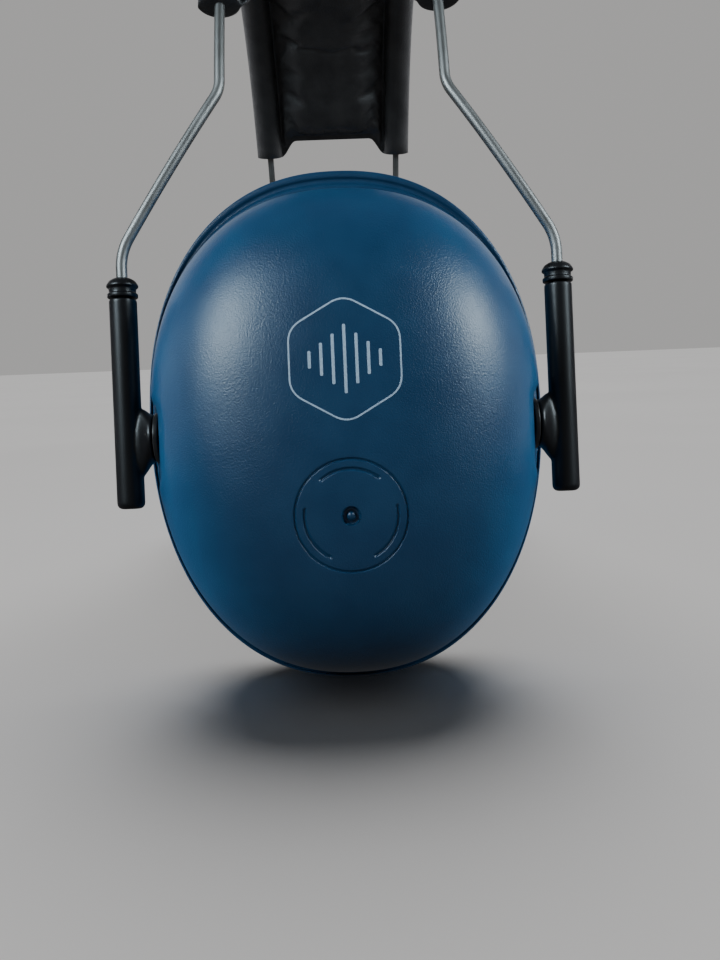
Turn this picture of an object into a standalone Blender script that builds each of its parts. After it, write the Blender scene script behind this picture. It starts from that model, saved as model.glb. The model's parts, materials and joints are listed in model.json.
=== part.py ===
"""Hearing protection earmuffs: a padded two-wire headband, four slider arms and two sprung ear cups.

The frame has its origin under the headband pad, at the crown of the head. +Z is up, the wearer
faces -Y, and the wearer's right cup lies towards -X. The muffs are modelled as they are worn.
Each side is built in a frame of its own on the cup's pivot axis: u points out of the cup's dome,
v runs along the pivot axis and w points up along the slider arms. The left side's frame leans
by SIDE_TILT, and the right side's is the left one turned half a turn about +Z.
"""

import math

import bmesh
import bpy
from mathutils import Matrix, Vector

# Worn pose
PIVOT_X = 0.098  # from the middle of the head to a cup's pivot axis
PIVOT_DROP = 0.134  # from the pad's underside down to the pivot axes
SIDE_TILT = math.radians(7.5)  # the arms and cups lean in at the top
TOUCH_GAP = 0.0003  # between pieces that touch

# Wires
WIRE_RADIUS = 0.00115
WIRE_HALF_SPACING = 0.024  # between the pad's middle and each wire
WIRE_CROWN_HEIGHT = 0.0065  # above the pad's underside
WIRE_CROWN_GAP = 0.0012  # where each wire is divided in two at the crown
UPPER_BEND_W = 0.0738
LOWER_BEND_W = 0.0388
UPPER_BEND_RADIUS = 0.008
LOWER_BEND_RADIUS = 0.012
WIRE_END_W = -0.009
WIRE_HEAD_RADIUS = 0.0016
WIRE_HEAD_LENGTH = 0.004

# Slider arms
ARM_HALF_SPACING = 0.0453  # from the cup's middle to each arm's axis
ARM_RADIUS = 0.00285
ARM_BORE_RADIUS = 0.002
ARM_TOP_W = 0.029
ARM_BOTTOM_W = -0.0144
ARM_FLOOR = 0.0018  # solid end under the bore
ARM_END_ROUNDING = 0.0012
BUSH_TOP_W = 0.0333
BUSH_RADIUS = 0.00325
BUSH_BORE_RADIUS = 0.00145
BUSH_SPIGOT_LENGTH = 0.003

# Pivots
BOSS_FACE_V = 0.0397  # the boss's end face, from the cup's middle
BOSS_RADIUS = 0.0049
DISC_RADIUS = 0.0053
DISC_THICKNESS = 0.001
PIVOT_SHAFT_RADIUS = 0.0026
PIVOT_HEAD_RADIUS = 0.0037
PIVOT_SPIGOT_RADIUS = 0.002
PIVOT_SPIGOT_LENGTH = 0.0022
PIVOT_HEAD_LENGTH = 0.0014
PIVOT_CLEARANCE = 0.0003
SOCKET_DEPTH = 0.0026  # in the boss, for the pivot's spigot

# Ear cups, from the pivot axis
RIM_U = -0.0105  # the rim's plane
FLANGE_HEIGHT = 0.004
DOME_HEIGHT = 0.032
SHELL_WALL = 0.0026
WIDEST_W = 0.0035
RIM_SIZES = (0.0425, 0.0535, 0.0565)  # half width, height above and depth below WIDEST_W
DOME_SIZES = (0.0399, 0.0467, 0.054)
UPPER_POWER = 2.25
LOWER_POWER = 2.2
DOME_POWER = 2.6
POCKET_FLOOR_V = 0.038
POCKET_RADIUS = 0.006
POCKET_WALL = 0.0024
POCKET_BACKING_RADIUS = 0.0074
BACKING_OVERLAP = 0.0008  # how far the backing stays behind the pocket's floor

# Cushions and liners
PLATE_THICKNESS = 0.0022
PLATE_INSET = 0.001  # inside the rim's outline
PLATE_LIP = 0.003  # the snap wall that enters the shell
PLATE_LIP_WALL = 0.0016
CUSHION_THICKNESS = 0.0125
CUSHION_INSET = 0.0015  # inside the rim's outline
CUSHION_SKIN = 0.001
EAR_SIZES = (0.0185, 0.03, 0.032)  # the ear opening, as RIM_SIZES
LINER_BACK = 0.0005
LINER_THICKNESS = 0.006
LINER_EDGE_U = 0.006

# Headband pad, around the middle of the two wires
PAD_TOP = 0.0048
PAD_LOBE_RADIUS = 0.0048
PAD_END_ANGLE = math.radians(52.5)  # on the arch's ellipse, from the crown
PAD_NOTCH = 0.006  # how far the web ends short of the lobes
PAD_NOTCH_HALF_WIDTH = 0.0165
FOAM_HALF_WIDTH = 0.0165
FOAM_TOP = 0.0034
FOAM_BOTTOM = -0.0049
FOAM_END_MARGIN = 0.009
FOAM_CORNER_CUT = 0.0015
CHANNEL_RADIUS = 0.0016

CUT_OVERSHOOT = 0.002  # how far a cutter runs past the face that it opens
NOTCH_CUT_HALF_HEIGHT = 0.012

OUTLINE_POINTS = 32
ROUND_POINTS = 14

SIDES = {"left": 0.0, "right": math.pi}


# Materials


def material(name, colour, roughness, metallic=0.0):
    made = bpy.data.materials.new(name)
    made.use_nodes = True
    shader = made.node_tree.nodes["Principled BSDF"]
    shader.inputs["Base Color"].default_value = (*colour, 1.0)
    shader.inputs["Roughness"].default_value = roughness
    shader.inputs["Metallic"].default_value = metallic
    made.diffuse_color = (*colour, 1.0)
    return made


# Meshes


def mesh_object(name, bm, parent=None, finish=None):
    """Makes one object of a bmesh, with its faces turned outwards."""
    bmesh.ops.recalc_face_normals(bm, faces=bm.faces)
    mesh = bpy.data.meshes.new(name)
    bm.to_mesh(mesh)
    bm.free()
    mesh.shade_smooth()
    mesh.set_sharp_from_angle(angle=math.radians(35))
    made = bpy.data.objects.new(name, mesh)
    bpy.context.scene.collection.objects.link(made)
    made.parent = parent
    if finish:
        mesh.materials.append(finish)
    return made


def loft(rings, closed=False):
    """A closed mesh through rings of equally many points: capped at both ends, or joined end to end."""
    bm = bmesh.new()
    rows = [[bm.verts.new(point) for point in ring] for ring in rings]
    pairs = list(zip(rows, rows[1:]))
    if closed:
        pairs.append((rows[-1], rows[0]))
    for lower, upper in pairs:
        for i in range(len(lower)):
            j = (i + 1) % len(lower)
            bm.faces.new((lower[i], lower[j], upper[j], upper[i]))
    if not closed:
        bm.faces.new(rows[0])
        bm.faces.new(rows[-1])
    return bm


def add_modifier(target, operation, tool):
    """Gives the target a Boolean with a tool that stays out of the finished part."""
    tool.hide_render = True
    tool.display_type = "WIRE"
    modifier = target.modifiers.new(f"{operation} {tool.name}", "BOOLEAN")
    modifier.operation = operation
    modifier.object = tool


def circle(radius, count, phase=0.0):
    step = 2 * math.pi / count
    return [(radius * math.cos(i * step + phase), radius * math.sin(i * step + phase)) for i in range(count)]


def turned(profile, count=ROUND_POINTS):
    """Rings around the w axis from (radius, w) pairs."""
    return [[(a, b, w) for a, b in circle(radius, count)] for radius, w in profile]


def turned_about_v(profile, count=ROUND_POINTS):
    """Rings around the v axis from (radius, v) pairs."""
    return [[(a, v, b) for a, b in circle(radius, count)] for radius, v in profile]


def signed_power(value, power):
    return math.copysign(abs(value) ** power, value)


def outline(sizes, u):
    """The cup's egg-shaped outline at depth u: a superellipse whose upper and lower halves differ."""
    half_width, above, below = sizes
    ring = []
    for i in range(OUTLINE_POINTS):
        angle = 2 * math.pi * i / OUTLINE_POINTS
        height, power = (above, UPPER_POWER) if math.sin(angle) > 0 else (below, LOWER_POWER)
        v = half_width * signed_power(math.cos(angle), 2 / power)
        w = height * signed_power(math.sin(angle), 2 / power)
        ring.append((u, v, WIDEST_W + w))
    return ring


def shrunk(sizes, inset):
    return tuple(size - inset for size in sizes)


def mixed(inner, outer, part):
    return tuple(a + (b - a) * part for a, b in zip(inner, outer))


def scaled(sizes, factor):
    return tuple(size * factor for size in sizes)


def dome_rings(sizes, base_u, height, steps, start_u=None):
    """Outlines up a superellipsoid dome, from its base, or from start_u, to a small ring at its top."""
    rise_so_far = 0.0 if start_u is None else (start_u - base_u) / height
    start = math.asin(rise_so_far ** (DOME_POWER / 2))
    rings = []
    for i in range(steps):
        angle = start + (math.pi / 2 - start) * i / steps
        rise = math.sin(angle) ** (2 / DOME_POWER)
        across = math.cos(angle) ** (2 / DOME_POWER)
        rings.append(outline(scaled(sizes, across), base_u + height * rise))
    return rings


# The arch that both wires and the pad follow


def arch_shape():
    """The quarter ellipse from the crown to the straight legs: its centre height, radii and end angle.

    The leg's line passes through the pivot axis with SIDE_TILT, and the ellipse meets it at the
    lower bend's height with the same slope.
    """
    leg_x = PIVOT_X - LOWER_BEND_W * math.sin(SIDE_TILT)
    leg_z = LOWER_BEND_W * math.cos(SIDE_TILT) - PIVOT_DROP
    drop = WIRE_CROWN_HEIGHT - leg_z
    slope = math.tan(SIDE_TILT)
    cosine = slope / (leg_x / drop - slope)
    end_angle = math.acos(cosine)
    radius_z = drop / (1 - cosine)
    return WIRE_CROWN_HEIGHT - radius_z, leg_x / math.sin(end_angle), radius_z, end_angle


ARCH_CENTRE_Z, ARCH_RADIUS_X, ARCH_RADIUS_Z, ARCH_END_ANGLE = arch_shape()


def arch_frame(angle):
    """Point and outward normal of the arch at an angle from the crown, positive on the left."""
    x = ARCH_RADIUS_X * math.sin(angle)
    z = ARCH_CENTRE_Z + ARCH_RADIUS_Z * math.cos(angle)
    normal = Vector((math.sin(angle) / ARCH_RADIUS_X, 0, math.cos(angle) / ARCH_RADIUS_Z)).normalized()
    return Vector((x, 0, z)), normal


def arch_table(steps=400):
    """Angles and arc lengths along the arch, from the crown to the straight leg."""
    table = [(0.0, 0.0)]
    last = arch_frame(0.0)[0]
    for i in range(1, steps + 1):
        angle = ARCH_END_ANGLE * i / steps
        point = arch_frame(angle)[0]
        table.append((angle, table[-1][1] + (point - last).length))
        last = point
    return table


ARCH_TABLE = arch_table()
ARCH_LENGTH = ARCH_TABLE[-1][1]


def arch_point(distance):
    """The arch's point at a distance from the crown, and past its end a point on the straight leg."""
    if distance >= ARCH_LENGTH:
        w = LOWER_BEND_W - (distance - ARCH_LENGTH)
        return Vector(
            (
                PIVOT_X - w * math.sin(SIDE_TILT),
                0,
                w * math.cos(SIDE_TILT) - PIVOT_DROP,
            )
        )
    for (angle, here), (next_angle, there) in zip(ARCH_TABLE, ARCH_TABLE[1:]):
        if distance <= there:
            part = (distance - here) / (there - here)
            return arch_frame(angle + (next_angle - angle) * part)[0]
    return arch_frame(ARCH_END_ANGLE)[0]


def bend_points(corner, before, after, radius, steps):
    """An arc that rounds a corner of the flat path, from one straight run to the next."""
    back = (before - corner).normalized()
    onward = (after - corner).normalized()
    half = back.angle(onward) / 2
    middle = corner + (back + onward).normalized() * (radius / math.sin(half))
    start = corner + back * (radius / math.tan(half))
    turn = math.pi - 2 * half
    sign = 1 if back.x * onward.y - back.y * onward.x < 0 else -1
    points = []
    for i in range(steps + 1):
        arc = Matrix.Rotation(sign * turn * i / steps, 2)
        points.append(middle + arc @ (start - middle))
    return points


def wire_path():
    """The left half of the front wire: crown, upper bend, lower bend and straight leg."""
    upper_s = ARCH_LENGTH - (UPPER_BEND_W - LOWER_BEND_W)
    upper = Vector((upper_s, WIRE_HALF_SPACING))
    lower = Vector((ARCH_LENGTH, ARM_HALF_SPACING))
    crown = Vector((WIRE_CROWN_GAP / 2, WIRE_HALF_SPACING))
    end = Vector((ARCH_LENGTH + LOWER_BEND_W - WIRE_END_W, ARM_HALF_SPACING))
    flat = [crown.lerp(upper, i / 15) for i in range(15)]
    flat += bend_points(upper, crown, lower, UPPER_BEND_RADIUS, 5)
    flat.append(upper.lerp(lower, 0.5))
    flat += bend_points(lower, upper, end, LOWER_BEND_RADIUS, 5)
    flat += [end - Vector((length, 0)) for length in (WIRE_HEAD_LENGTH + 0.001, WIRE_HEAD_LENGTH, 0.0008, 0)]
    points = []
    for distance, across in flat:
        point = arch_point(distance)
        points.append((point.x, -across, point.z))
    return points


def build_wire(name, turn, place, finish):
    """Half of one wire, from the crown to its upset end inside an arm."""
    curve = bpy.data.curves.new(name, "CURVE")
    curve.dimensions = "3D"
    curve.bevel_depth = WIRE_RADIUS
    curve.bevel_resolution = 2
    curve.use_fill_caps = True
    points = wire_path()
    line = curve.splines.new("POLY")
    line.points.add(len(points) - 1)
    hinge = Vector((0, 0, WIRE_CROWN_HEIGHT))
    for target, (x, y, z) in zip(line.points, points):
        target.co = (*(Vector((x, place * y, z)) - hinge), 1)
    head = WIRE_HEAD_RADIUS / WIRE_RADIUS
    for index, radius in ((-3, head), (-2, head), (-1, 0.7 * head)):
        line.points[index].radius = radius
    curve.materials.append(finish)
    made = bpy.data.objects.new(name, curve)
    made.location = hinge
    made.rotation_euler.z = turn
    bpy.context.scene.collection.objects.link(made)
    return made


# Headband pad


def pad_section(angle, corners):
    """Places a cross-section of (outward, fore-aft) points on the arch."""
    point, normal = arch_frame(angle)
    return [point + normal * out + Vector((0, across, 0)) for out, across in corners]


def pad_corners():
    """The pad's section: flat on top, a round lobe around each wire and a cushioned underside."""
    corners = []
    for i in range(7):
        turn = math.pi / 2 - math.pi * i / 6
        out = PAD_LOBE_RADIUS * math.sin(turn)
        across = WIRE_HALF_SPACING + PAD_LOBE_RADIUS * math.cos(turn)
        corners.append((out, across))
    for across in (0.016, 0.008, 0.0):
        ease = math.cos(math.pi / 2 * across / WIRE_HALF_SPACING)
        corners.append((-PAD_LOBE_RADIUS - (WIRE_CROWN_HEIGHT - PAD_LOBE_RADIUS) * ease, across))
    mirrored = [(out, -across) for out, across in reversed(corners[:-1])]
    return corners + mirrored + [(PAD_TOP, -0.008), (PAD_TOP, 0.008)]


def sweep_pad(corners, end_angle, steps):
    return loft([pad_section(end_angle * (2 * i / steps - 1), corners) for i in range(steps + 1)])


def arch_angle(distance):
    """The arch's angle at a distance from the crown."""
    for (angle, here), (next_angle, there) in zip(ARCH_TABLE, ARCH_TABLE[1:]):
        if distance <= there:
            return angle + (next_angle - angle) * (distance - here) / (there - here)
    return ARCH_END_ANGLE


def pad_end_distance():
    return next(length for angle, length in ARCH_TABLE if angle >= PAD_END_ANGLE)


def build_pad(finish, foam_finish):
    """The cover, a sleeve with a channel for each wire and a pocket for the foam strip."""
    cover = mesh_object("headband_cover", sweep_pad(pad_corners(), PAD_END_ANGLE, 16), None, finish)
    past_end = PAD_END_ANGLE + math.radians(3)
    for place in (-1, 1):
        hole = [(a, place * WIRE_HALF_SPACING + b) for a, b in circle(CHANNEL_RADIUS, 8)]
        add_modifier(cover, "DIFFERENCE", mesh_object(f"channel_cut_{place}", sweep_pad(hole, past_end, 18)))
        near = arch_angle(pad_end_distance() - PAD_NOTCH)
        corners = [
            (out, across)
            for out, across in (
                (NOTCH_CUT_HALF_HEIGHT, -PAD_NOTCH_HALF_WIDTH),
                (NOTCH_CUT_HALF_HEIGHT, PAD_NOTCH_HALF_WIDTH),
                (-NOTCH_CUT_HALF_HEIGHT, PAD_NOTCH_HALF_WIDTH),
                (-NOTCH_CUT_HALF_HEIGHT, -PAD_NOTCH_HALF_WIDTH),
            )
        ]
        notch = loft([pad_section(place * near, corners), pad_section(place * past_end, corners)])
        add_modifier(cover, "DIFFERENCE", mesh_object(f"notch_cut_{place}", notch))
    pocket = sweep_pad(foam_corners(TOUCH_GAP), past_end, 18)
    add_modifier(cover, "DIFFERENCE", mesh_object("pocket_cut", pocket))
    foam_end = arch_angle(pad_end_distance() - FOAM_END_MARGIN)
    mesh_object("headband_foam", sweep_pad(foam_corners(0.0), foam_end, 16), None, foam_finish)


def foam_corners(grow):
    """The foam strip's section, a rectangle with cut corners."""
    cut = FOAM_CORNER_CUT
    top = FOAM_TOP + grow
    bottom = FOAM_BOTTOM - grow
    side = FOAM_HALF_WIDTH - 2 * cut + grow
    right = [(top, side - cut), (top - cut, side), (bottom + cut, side), (bottom, side - cut)]
    return right + [(out, -across) for out, across in reversed(right)]


# Slider arms, their bushes and pivots: built at v = 0 with the boss towards +v


def arm_mesh():
    """A round-ended tube without its bore."""
    end = ARM_END_ROUNDING
    profile = [
        (ARM_RADIUS - end, ARM_BOTTOM_W),
        (ARM_RADIUS - 0.3 * end, ARM_BOTTOM_W + 0.3 * end),
        (ARM_RADIUS, ARM_BOTTOM_W + end),
        (ARM_RADIUS, ARM_TOP_W),
    ]
    return loft(turned(profile))


def boss_mesh():
    """The boss that carries the pivot: a tall fairing on the tube that narrows to a round face."""
    length = ARM_HALF_SPACING - BOSS_FACE_V
    # part of the length, half thickness along u, half height along w and height of the middle
    sections = (
        (0.0, 0.0022, 0.0075, -0.0009),
        (0.5, 0.0027, 0.0071, -0.0008),
        (0.72, 0.0038, 0.0059, -0.0003),
        (0.9, BOSS_RADIUS, BOSS_RADIUS, 0.0),
        (1.0, BOSS_RADIUS, BOSS_RADIUS, 0.0),
    )
    rings = []
    for part, thick, tall, middle in sections:
        rings.append([(thick * a, length * part, middle + tall * b) for a, b in circle(1.0, ROUND_POINTS)])
    return loft(rings)


def build_arm(name, empty, place, finish):
    arm = mesh_object(name, arm_mesh(), empty, finish)
    place_on_arm(arm, place)
    bore_top = ARM_TOP_W + CUT_OVERSHOOT
    bore = loft(turned([(ARM_BORE_RADIUS, ARM_BOTTOM_W + ARM_FLOOR), (ARM_BORE_RADIUS, bore_top)]))
    length = ARM_HALF_SPACING - BOSS_FACE_V
    socket_radius = PIVOT_SPIGOT_RADIUS + PIVOT_CLEARANCE
    socket_ends = (length - SOCKET_DEPTH, length + CUT_OVERSHOOT)
    socket = loft(turned_about_v([(socket_radius, v) for v in socket_ends], 12))
    tools = (
        ("UNION", "boss", boss_mesh()),
        ("DIFFERENCE", "bore", bore),
        ("DIFFERENCE", "socket", socket),
    )
    for operation, label, bm in tools:
        tool = mesh_object(f"{name}_{label}_tool", bm, empty)
        place_on_arm(tool, place)
        add_modifier(arm, operation, tool)
    return arm


def place_on_arm(piece, place):
    """Moves a piece to the arm on one side of the cup, with its boss towards the cup."""
    piece.location.y = place * ARM_HALF_SPACING
    if place > 0:
        piece.rotation_euler.z = math.pi


def build_bush(name, empty, place, finish):
    """A domed cap with a groove, which guides the wire and has a spigot in the arm's bore."""
    base = ARM_TOP_W + TOUCH_GAP
    tall = BUSH_TOP_W - base
    spigot = ARM_BORE_RADIUS - TOUCH_GAP
    outer = [
        (spigot, ARM_TOP_W - BUSH_SPIGOT_LENGTH),
        (spigot, base),
        (ARM_RADIUS + 0.0001, base),
        (ARM_RADIUS + 0.0001, base + 0.22 * tall),
        (ARM_RADIUS - 0.0004, base + 0.3 * tall),
        (ARM_RADIUS - 0.0004, base + 0.38 * tall),
        (BUSH_RADIUS, base + 0.45 * tall),
        (BUSH_RADIUS, base + 0.68 * tall),
        (BUSH_RADIUS - 0.0006, base + 0.9 * tall),
        (BUSH_RADIUS - 0.0014, BUSH_TOP_W),
    ]
    inner = [(BUSH_BORE_RADIUS, BUSH_TOP_W), (BUSH_BORE_RADIUS, ARM_TOP_W - BUSH_SPIGOT_LENGTH)]
    bush = mesh_object(name, loft(turned(outer + inner, 12), closed=True), empty, finish)
    place_on_arm(bush, place)
    return bush


def build_pivot(name, empty, place, finish):
    """A stud that turns in the shell: spigot in the boss, disc against it, shaft, and snap head inside."""
    face = ARM_HALF_SPACING - BOSS_FACE_V
    disc = face + TOUCH_GAP
    inside = ARM_HALF_SPACING - (POCKET_FLOOR_V - POCKET_WALL) + PIVOT_CLEARANCE
    profile = [
        (PIVOT_SPIGOT_RADIUS, face - PIVOT_SPIGOT_LENGTH),
        (PIVOT_SPIGOT_RADIUS, disc),
        (DISC_RADIUS, disc),
        (DISC_RADIUS, disc + DISC_THICKNESS),
        (PIVOT_SHAFT_RADIUS, disc + DISC_THICKNESS),
        (PIVOT_SHAFT_RADIUS, inside),
        (PIVOT_HEAD_RADIUS, inside),
        (PIVOT_SHAFT_RADIUS, inside + PIVOT_HEAD_LENGTH),
    ]
    pivot = mesh_object(name, loft(turned_about_v(profile)), empty, finish)
    place_on_arm(pivot, place)
    return pivot


# Ear cups


def build_shell(name, empty, finish):
    """One wall from the dome's top over the stepped flange and up its inside."""
    flange_u = RIM_U + FLANGE_HEIGHT
    inner_sizes = shrunk(DOME_SIZES, SHELL_WALL)
    steps = (  # part of the way from the rim to the dome's base, and height above the rim's plane
        (1.0, 1.0),
        (0.6, 0.8),
        (0.45, 0.8),
        (0.4, 0.4),
        (0.22, 0.4),
        (0.18, 0.66),
        (0.0, 0.6),
    )
    outer = list(reversed(dome_rings(DOME_SIZES, flange_u, DOME_HEIGHT, 8)))
    for part, height in steps[1:]:
        outer.append(outline(mixed(RIM_SIZES, DOME_SIZES, part), RIM_U + FLANGE_HEIGHT * height))
    outer.append(outline(RIM_SIZES, RIM_U))
    inner = [outline(inner_sizes, RIM_U)]
    inner += dome_rings(inner_sizes, flange_u, DOME_HEIGHT - SHELL_WALL, 6)
    shell = mesh_object(name, loft(outer + inner), empty, finish)
    backing = POCKET_FLOOR_V - POCKET_WALL
    backing_end = POCKET_FLOOR_V - BACKING_OVERLAP
    hole_radius = PIVOT_SHAFT_RADIUS + PIVOT_CLEARANCE
    hole_ends = (backing - CUT_OVERSHOOT, POCKET_FLOOR_V + CUT_OVERSHOOT)
    for place in (-1, 1):
        spans = (
            ("UNION", "backing", POCKET_BACKING_RADIUS, backing, backing_end),
            ("DIFFERENCE", "pocket", POCKET_RADIUS, POCKET_FLOOR_V, ARM_HALF_SPACING),
            ("DIFFERENCE", "hole", hole_radius, *hole_ends),
        )
        for operation, label, radius, near, far in spans:
            bm = loft(turned_about_v([(radius, place * near), (radius, place * far)]))
            add_modifier(shell, operation, mesh_object(f"{name}_{label}_{place}", bm, empty))
    return shell


def ring_solid(profile, inner_sizes, outer_sizes):
    """A ring whose section is a loop of (part of the way from inner to outer outline, inset, u)."""
    rings = []
    for part, inset, u in profile:
        rings.append(outline(shrunk(mixed(inner_sizes, outer_sizes, part), inset), u))
    return loft(rings, closed=True)


def build_cushion(side, empty, finishes):
    """The snap-in plate, the foam ring and its skin, a channel that is open towards the plate."""
    plate_top = RIM_U - TOUCH_GAP
    plate_back = plate_top - PLATE_THICKNESS
    lip_top = RIM_U + PLATE_LIP
    outer = shrunk(RIM_SIZES, PLATE_INSET)
    lip = shrunk(DOME_SIZES, SHELL_WALL + TOUCH_GAP)
    plate = [
        outline(outer, plate_back),
        outline(outer, plate_top),
        outline(lip, plate_top),
        outline(lip, lip_top),
        outline(shrunk(lip, PLATE_LIP_WALL), lip_top),
        outline(shrunk(lip, PLATE_LIP_WALL), plate_top),
        outline(EAR_SIZES, plate_top),
        outline(EAR_SIZES, plate_back),
    ]
    mesh_object(f"{side}_cushion_plate", loft(plate, closed=True), empty, finishes["plate"])

    back = plate_back - TOUCH_GAP
    front = back - CUSHION_THICKNESS
    skin_outer = shrunk(RIM_SIZES, CUSHION_INSET)
    wall = CUSHION_SKIN
    outside = (
        (1.0, 0.0, back),
        (1.0, 0.0, back - 0.55 * CUSHION_THICKNESS),
        (0.94, 0.0, back - 0.85 * CUSHION_THICKNESS),
        (0.8, 0.0, front),
        (0.2, 0.0, front),
        (0.06, 0.0, back - 0.85 * CUSHION_THICKNESS),
        (0.0, 0.0, back - 0.55 * CUSHION_THICKNESS),
        (0.0, 0.0, back),
    )
    inside = (
        (0.0, -wall, back),
        (0.0, -wall, back - 0.52 * CUSHION_THICKNESS),
        (0.2, 0.0, front + wall),
        (0.8, 0.0, front + wall),
        (1.0, wall, back - 0.52 * CUSHION_THICKNESS),
        (1.0, wall, back),
    )
    skin = ring_solid(outside + inside, EAR_SIZES, skin_outer)
    mesh_object(f"{side}_cushion_skin", skin, empty, finishes["skin"])
    spare = wall + TOUCH_GAP
    filling = (
        (0.0, -spare, back - TOUCH_GAP),
        (0.0, -spare, back - 0.5 * CUSHION_THICKNESS),
        (0.25, 0.0, front + 2 * spare),
        (0.75, 0.0, front + 2 * spare),
        (1.0, spare, back - 0.5 * CUSHION_THICKNESS),
        (1.0, spare, back - TOUCH_GAP),
    )
    mesh_object(
        f"{side}_cushion_foam", ring_solid(filling, EAR_SIZES, skin_outer), empty, finishes["foam"]
    )


def build_liner(name, empty, finish):
    """A foam bowl against the inside of the dome."""
    base = RIM_U + FLANGE_HEIGHT
    outer_sizes = shrunk(DOME_SIZES, SHELL_WALL + LINER_BACK)
    inner_sizes = shrunk(outer_sizes, LINER_THICKNESS)
    height = DOME_HEIGHT - SHELL_WALL - LINER_BACK
    outer = dome_rings(outer_sizes, base, height, 4, LINER_EDGE_U)
    inner = dome_rings(inner_sizes, base, height - LINER_THICKNESS, 3, LINER_EDGE_U)
    return mesh_object(name, loft(list(reversed(outer)) + inner), empty, finish)


def side_empty(side, turn):
    """The side's frame, on its pivot axis."""
    empty = bpy.data.objects.new(f"{side}_side_frame", None)
    bpy.context.scene.collection.objects.link(empty)
    empty.location = (math.cos(turn) * PIVOT_X, 0, -PIVOT_DROP)
    empty.rotation_euler = (0, -SIDE_TILT, turn)
    return empty


def clear_scene():
    for obj in list(bpy.data.objects):
        bpy.data.objects.remove(obj)


def main():
    clear_scene()
    steel = material("stainless_wire", (0.6, 0.6, 0.6), 0.3, 1.0)
    black = material("black_arm_plastic", (0.012, 0.012, 0.013), 0.45)
    blue = material("blue_cup_plastic", (0.02, 0.1, 0.2), 0.35)
    vinyl = material("black_vinyl", (0.015, 0.015, 0.016), 0.5)
    foam = material("grey_foam", (0.12, 0.12, 0.12), 0.9)
    inner_plastic = material("dark_plate_plastic", (0.02, 0.02, 0.022), 0.5)

    build_pad(vinyl, foam)
    for side, turn in SIDES.items():
        empty = side_empty(side, turn)
        # The left side's frame has the wearer's front at -v, and the right side's has it at +v.
        front = -1 if side == "left" else 1
        for label, place in (("front", front), ("rear", -front)):
            build_wire(f"{label}_wire_{side}", turn, -place, steel)
            build_arm(f"{side}_{label}_arm", empty, place, black)
            build_bush(f"{side}_{label}_bush", empty, place, black)
            build_pivot(f"{side}_{label}_pivot", empty, place, black)
        build_shell(f"{side}_shell", empty, blue)
        build_liner(f"{side}_liner", empty, foam)
        build_cushion(side, empty, {"plate": inner_plastic, "skin": vinyl, "foam": foam})
    bpy.context.view_layer.update()


main()
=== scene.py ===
"""The looks of a pair of hearing protection earmuffs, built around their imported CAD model.

Each side has a frame of its own on its cup's pivot axis: u points out of the dome, v runs along the
pivot axis and w points up along the slider arms. The headband's pieces use the arch's own places:
a distance along the arch from the crown, across it, and outwards from the wires' middle.
"""

import json
import math

import bmesh
import bpy
import numpy as np
from mathutils import Matrix, Vector, noise


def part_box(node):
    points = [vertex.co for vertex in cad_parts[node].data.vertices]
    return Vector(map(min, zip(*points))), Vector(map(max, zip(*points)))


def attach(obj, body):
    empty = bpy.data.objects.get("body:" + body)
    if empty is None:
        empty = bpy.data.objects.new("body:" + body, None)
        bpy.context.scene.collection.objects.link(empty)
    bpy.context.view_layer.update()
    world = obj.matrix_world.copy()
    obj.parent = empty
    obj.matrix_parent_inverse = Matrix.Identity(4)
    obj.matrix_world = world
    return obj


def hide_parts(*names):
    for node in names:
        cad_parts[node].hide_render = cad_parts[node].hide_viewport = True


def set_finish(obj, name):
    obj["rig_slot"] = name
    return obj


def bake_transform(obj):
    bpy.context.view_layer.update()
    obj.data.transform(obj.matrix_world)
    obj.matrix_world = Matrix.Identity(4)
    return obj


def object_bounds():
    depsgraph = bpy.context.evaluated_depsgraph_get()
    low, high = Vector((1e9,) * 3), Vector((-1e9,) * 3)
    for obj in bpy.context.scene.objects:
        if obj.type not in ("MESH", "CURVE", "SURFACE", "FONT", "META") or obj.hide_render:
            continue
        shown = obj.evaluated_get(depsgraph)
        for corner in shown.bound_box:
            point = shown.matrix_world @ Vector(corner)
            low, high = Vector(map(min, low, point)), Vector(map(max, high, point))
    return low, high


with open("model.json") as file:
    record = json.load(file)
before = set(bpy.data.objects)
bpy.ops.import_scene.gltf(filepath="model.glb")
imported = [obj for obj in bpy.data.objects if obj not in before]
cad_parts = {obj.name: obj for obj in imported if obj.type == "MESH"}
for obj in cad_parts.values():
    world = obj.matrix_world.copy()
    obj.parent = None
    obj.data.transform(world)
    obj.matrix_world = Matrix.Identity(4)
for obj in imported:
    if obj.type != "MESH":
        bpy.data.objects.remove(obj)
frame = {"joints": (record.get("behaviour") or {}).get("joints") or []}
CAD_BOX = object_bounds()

MM = 0.001
SIDES = ("left", "right")
JOINTS = {joint["name"]: joint for joint in frame["joints"]}

# Cup outlines, as half width, height above and depth below the widest line
RIM_U = -10.5 * MM
FLANGE_TOP_U = -6.5 * MM
DOME_HEIGHT = 32.0 * MM
SHELL_WALL = 2.6 * MM
WIDEST_W = 3.5 * MM
RIM_SIZES = np.array((42.5, 53.5, 56.5)) * MM
DOME_SIZES = np.array((39.9, 46.7, 54.0)) * MM
OUTER_SIZES = DOME_SIZES + np.array((0.6, 0.0, 0.0)) * MM  # the moulded skin bulges at its sides
EAR_SIZES = np.array((18.5, 30.0, 32.0)) * MM
UPPER_POWER = 2.25
LOWER_POWER = 2.2
DOME_POWER = 2.6
FLANGE_STEPS = (  # part of the way from the rim to the dome's base, and height above the rim
    (1.0, 4.0),
    (0.86, 3.45),
    (0.50, 3.2),
    (0.42, 2.25),
    (0.28, 2.1),
    (0.21, 2.65),
    (0.0, 2.4),
    (0.0, 0.0),
)
FLANGE_EASE = 0.42 * MM

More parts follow.
